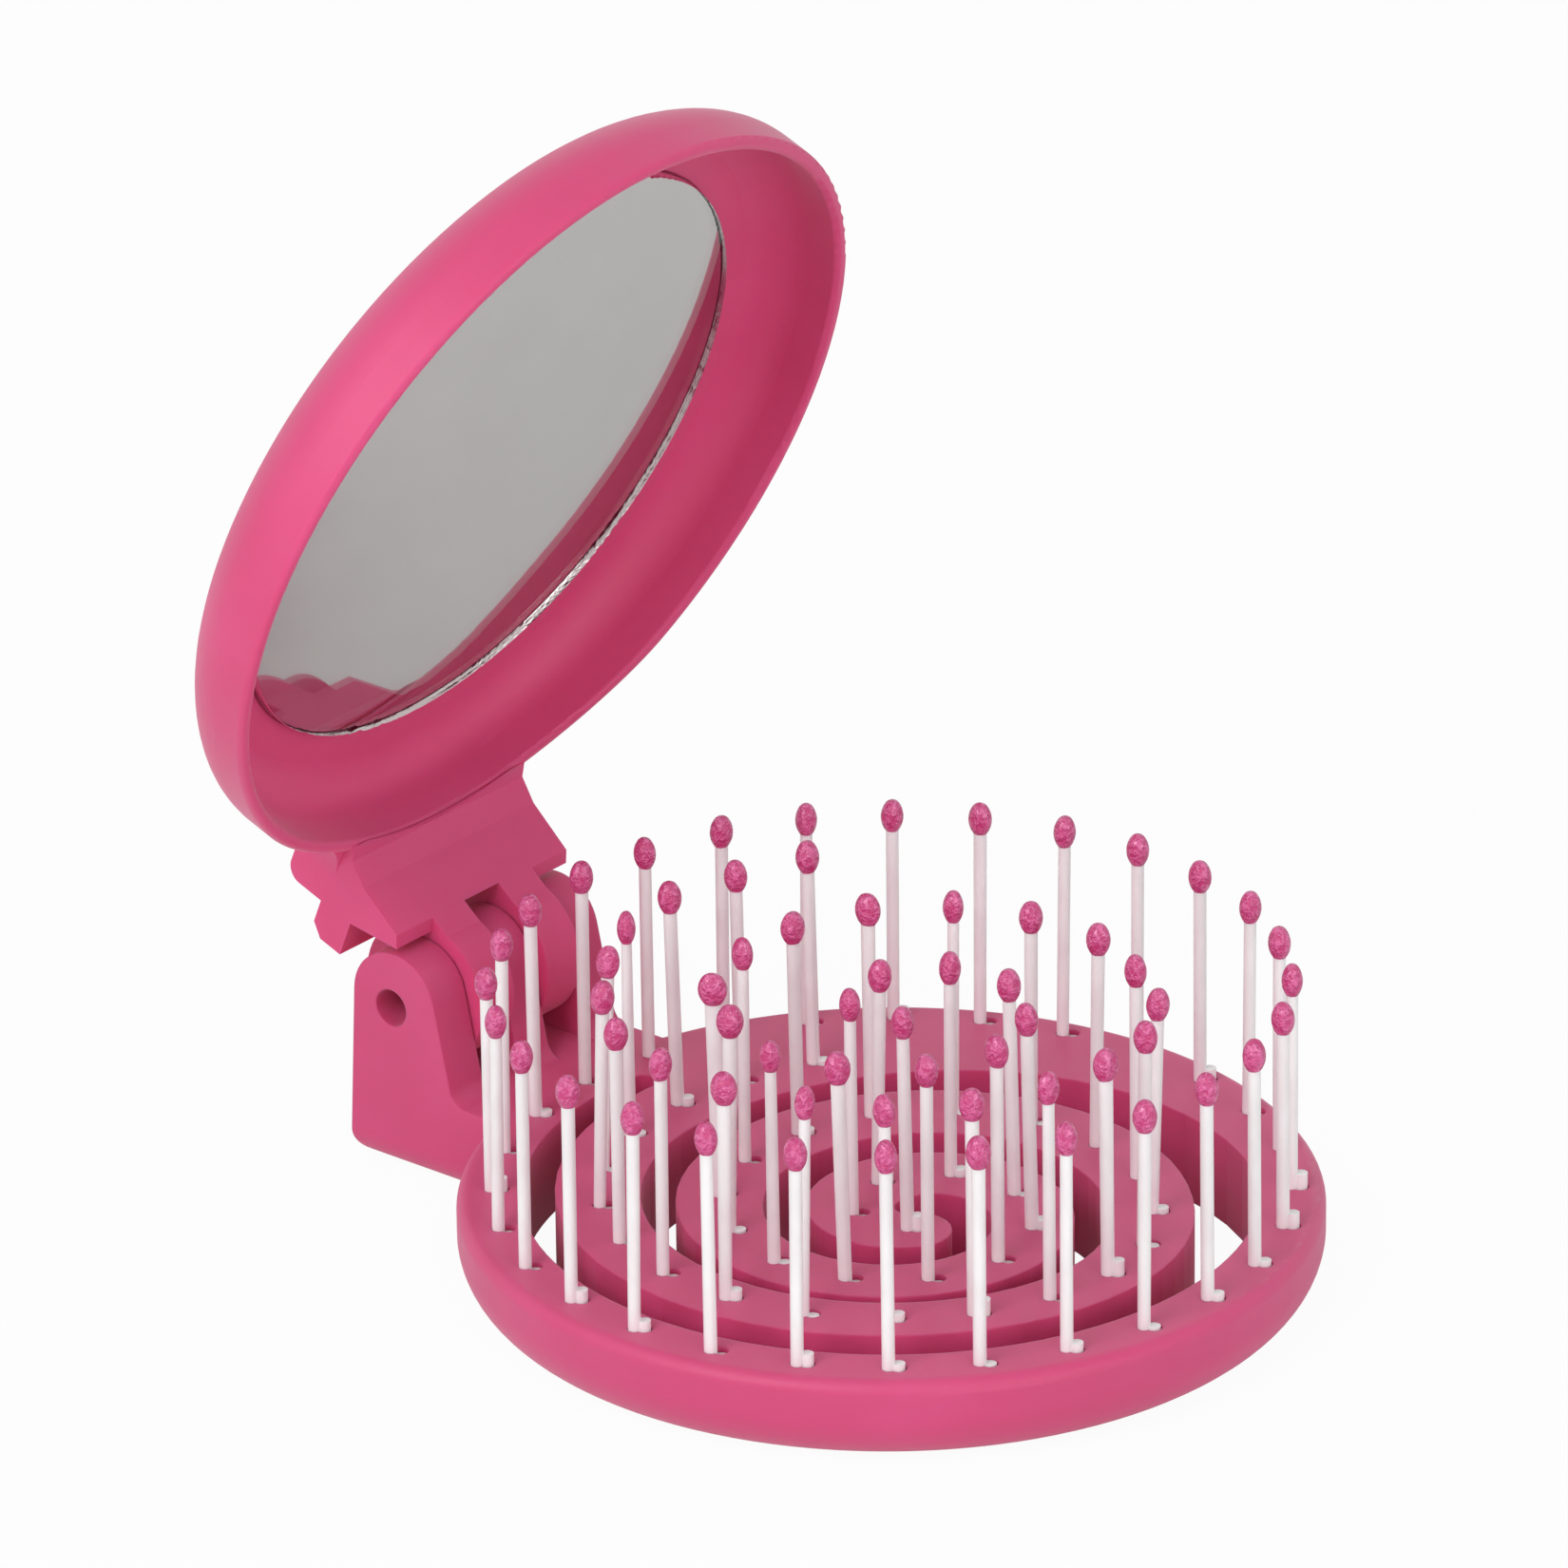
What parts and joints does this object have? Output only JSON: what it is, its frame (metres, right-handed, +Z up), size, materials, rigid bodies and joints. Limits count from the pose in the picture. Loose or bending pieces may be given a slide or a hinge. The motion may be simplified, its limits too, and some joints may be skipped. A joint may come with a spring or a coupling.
{
  "type": "folding hairbrush with mirror",
  "caption": "Round compact hairbrush: a spiral-slotted plate with tip-dipped nylon bristles, and a dished lid with a round mirror that folds over them on a cross-pin hinge.",
  "frame": {"origin": "centre of the round brush plate, on the flat underside that it rests on", "axes": "+Z up along the bristles, +Y from the plate's centre towards the hinge, +X along the hinge pin"},
  "size_m": [0.0634, 0.0809, 0.0839],
  "materials": {
    "plate_plastic": "soft satin",
    "lid_plastic": "soft satin",
    "nylon": "translucent gloss",
    "tip_resin": "gloss, slightly pitted",
    "pin_steel": "plain drawn",
    "mirror_glass": "polished, ground edge",
    "mirror_silver": "silvered, painted back",
    "tape": "foam tape"
  },
  "bodies": {
    "brush": {"brush_plate": "plate_plastic", "rim_bristles": "nylon", "outer_turn_bristles": "nylon", "inner_turn_bristles": "nylon", "rim_tips": "tip_resin", "outer_turn_tips": "tip_resin", "inner_turn_tips": "tip_resin", "hinge_pin": "pin_steel"},
    "lid": {"lid_shell": "lid_plastic", "mirror_glass": "mirror_glass", "mirror_silvering": "mirror_silver", "mirror_tape": "tape"}
  },
  "joints": [
    {"name": "lid_hinge", "type": "hinge", "parent": "brush", "child": "lid", "pos_m": [0, 0.03985, 0.0133], "axis": [-1, 0, 0], "range_deg": [-68.5, 71.5]}
  ]
}
